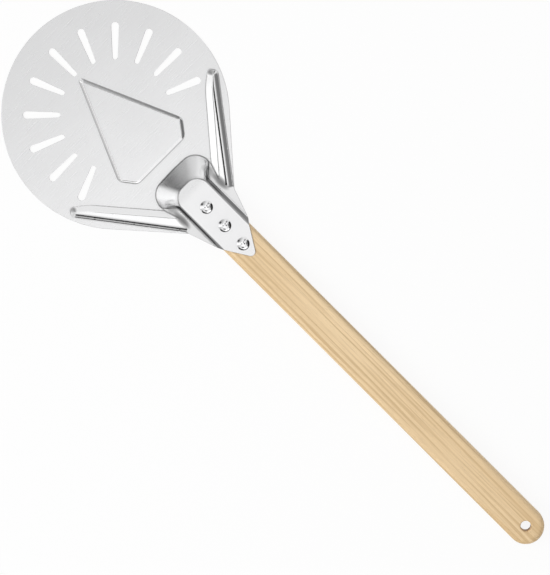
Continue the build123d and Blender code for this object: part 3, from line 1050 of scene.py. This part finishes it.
# ---- Rivets ----
def rivet_outline(settings, head_radius, foot, seat, top):
    """Half the rivet's section, from the crown of its head down to the middle of its set tail."""
    head_height = top - seat
    crown = (head_radius**2 + head_height**2) / (2 * head_height)
    spread = degrees(asin(head_radius / crown))
    head = arc((0.0, top - crown), crown, 90.0, 90.0 - spread, HEAD_STEPS)
    shank, tail = settings.shank_radius, settings.tail_radius
    tail_top = foot + settings.tail_height
    rounding = settings.tail_rounding
    struck_edge = arc((tail - rounding, foot + rounding), rounding, 0.0, -90.0, TAIL_STEPS)
    return [*head, (shank, seat), (shank, tail_top), (tail, tail_top), *struck_edge, (0.0, foot)]


def turned_mesh(name, outline, x, y):
    """Turns an outline of (radius, height) pairs round the upright axis at x, y."""
    shape = bmesh.new()
    rings = []
    for radius, height in outline:
        on_axis = radius < TINY
        turns = (2 * pi * i / TURN_STEPS for i in range(1 if on_axis else TURN_STEPS))
        rings.append([shape.verts.new((x + radius * cos(t), y + radius * sin(t), height)) for t in turns])
    for upper, lower in zip(rings, rings[1:]):
        for i in range(TURN_STEPS):
            j = (i + 1) % TURN_STEPS
            corners = (upper, i), (lower, i), (lower, j), (upper, j)
            shape.faces.new(list(dict.fromkeys(ring[k % len(ring)] for ring, k in corners)))
    for face in shape.faces:
        face.smooth = True
    bmesh.ops.recalc_face_normals(shape, faces=shape.faces)
    mesh = bpy.data.meshes.new(name)
    shape.to_mesh(mesh)
    shape.free()
    mesh.set_sharp_from_angle(angle=radians(SHARP_ANGLE))
    return mesh


# ---- Operators ----
def add_object(name, data):
    """Adds an object to the scene and returns it."""
    made = bpy.data.objects.new(name, data)
    bpy.context.scene.collection.objects.link(made)
    return made


class PEEL_OT_add_camera(Operator):
    """Adds the camera that looks down on the peel"""

    bl_idname = "peel.add_camera"
    bl_label = "Add Camera"

    def execute(self, context):
        studio = context.scene.peel_studio
        aim = Vector(studio.aim)
        camera = add_object("camera", bpy.data.cameras.new("camera"))
        camera.location = aim + Vector((0.0, studio.camera_side, studio.camera_distance))
        camera.data.sensor_width = 36.0
        camera.data.lens = camera.data.sensor_width * studio.camera_distance / studio.view_size
        back = (camera.location - aim).normalized()
        plan_right = Matrix.Rotation(studio.roll, 3, "Z") @ Vector((1.0, 0.0, 0.0))
        up = back.cross(plan_right).normalized()
        right = up.cross(back)
        camera.rotation_euler = Matrix((right, up, back)).transposed().to_euler()
        camera.data.clip_end = 100.0
        context.scene.camera = camera
        return {"FINISHED"}


class PEEL_OT_press_blade(Operator):
    """Presses the blade from its sheet and gives it a brushed stainless finish"""

    bl_idname = "peel.press_blade"
    bl_label = "Press Blade"

    def execute(self, context):
        neck_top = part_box("blade")[1].z
        mesh = pressed_blade("blade_pressed")
        mesh.materials.append(brushed_steel(context.scene.peel_steel, neck_top))
        piece = add_object("blade_pressed", mesh)
        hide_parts("blade")
        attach(piece, ROOT)
        return {"FINISHED"}


class PEEL_OT_finish_handle(Operator):
    """Gives the handle its light hardwood"""

    bl_idname = "peel.finish_handle"
    bl_label = "Finish Handle"

    def execute(self, context):
        wear("handle", light_hardwood(context.scene.peel_wood))
        return {"FINISHED"}


class PEEL_OT_make_rivets(Operator):
    """Makes the three round-headed rivets and finishes their washers"""

    bl_idname = "peel.make_rivets"
    bl_label = "Make Rivets"

    def execute(self, context):
        settings = context.scene.peel_rivets
        polish = polished_steel()
        plain = plain_steel()
        head_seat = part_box("blade")[1].z
        for spot in RIVET_PLACES:
            node = f"rivet_{spot}"
            low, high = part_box(node)
            outline = rivet_outline(settings, (high.x - low.x) / 2, low.z, head_seat, high.z)
            mesh = turned_mesh(f"{node}_turned", outline, (low.x + high.x) / 2, (low.y + high.y) / 2)
            mesh.materials.append(polish)
            piece = add_object(f"{node}_turned", mesh)
            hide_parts(node)
            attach(piece, ROOT)
            wear(f"washer_{spot}", plain)
        return {"FINISHED"}


class PEEL_OT_add_studio(Operator):
    """Adds the floor, the white light tent with its darker openings, and the key light"""

    bl_idname = "peel.add_studio"
    bl_label = "Add Studio"

    def execute(self, context):
        scene = context.scene
        studio = scene.peel_studio
        centre = sum(cad_box, Vector()) / 2

        mesh = bpy.data.meshes.new("studio_floor")
        signs = ((-1, -1), (1, -1), (1, 1), (-1, 1))
        mesh.from_pydata([(x * FLOOR_HALF, y * FLOOR_HALF, 0.0) for x, y in signs], [], [(0, 1, 2, 3)])
        mesh.materials.append(floor_paint(studio))
        floor = add_object("studio_floor", mesh)
        floor.location = (centre.x, centre.y, cad_box[0].z - FLOOR_DROP)

        lamp = bpy.data.lights.new("key_light", "AREA")
        lamp.shape = "RECTANGLE"
        lamp.size, lamp.size_y = KEY_SIZE
        lamp.energy = studio.key_power
        key = add_object("key_light", lamp)
        key.location = centre + Vector(KEY_PLACE)
        key.rotation_euler = (centre - key.location).to_track_quat("-Z", "Y").to_euler()
        key.visible_glossy = False

        scene.world = light_tent(studio)
        scene.view_settings.view_transform = "Standard"
        return {"FINISHED"}


class PEEL_PT_panel(Panel):
    """Lists the steps that dress the peel."""

    bl_label = "Pizza Peel"
    bl_idname = "PEEL_PT_panel"
    bl_space_type = "VIEW_3D"
    bl_region_type = "UI"
    bl_category = "Peel"

    def draw(self, context):
        for step in STEPS:
            self.layout.operator(step.bl_idname)


STEPS = (
    PEEL_OT_add_camera,
    PEEL_OT_press_blade,
    PEEL_OT_finish_handle,
    PEEL_OT_make_rivets,
    PEEL_OT_add_studio,
)
CLASSES = (PEEL_PG_steel, PEEL_PG_rivets, PEEL_PG_wood, PEEL_PG_studio, *STEPS, PEEL_PT_panel)
SETTINGS = {
    "peel_steel": PEEL_PG_steel,
    "peel_rivets": PEEL_PG_rivets,
    "peel_wood": PEEL_PG_wood,
    "peel_studio": PEEL_PG_studio,
}


def register():
    for cls in CLASSES:
        bpy.utils.register_class(cls)
    for name, group in SETTINGS.items():
        setattr(bpy.types.Scene, name, PointerProperty(type=group))


def unregister():
    for name in SETTINGS:
        delattr(bpy.types.Scene, name)
    for cls in reversed(CLASSES):
        bpy.utils.unregister_class(cls)


def main():
    register()
    bpy.ops.peel.add_camera()
    bpy.ops.peel.press_blade()
    bpy.ops.peel.finish_handle()
    bpy.ops.peel.make_rivets()
    bpy.ops.peel.add_studio()


if __name__ == "__main__":
    main()
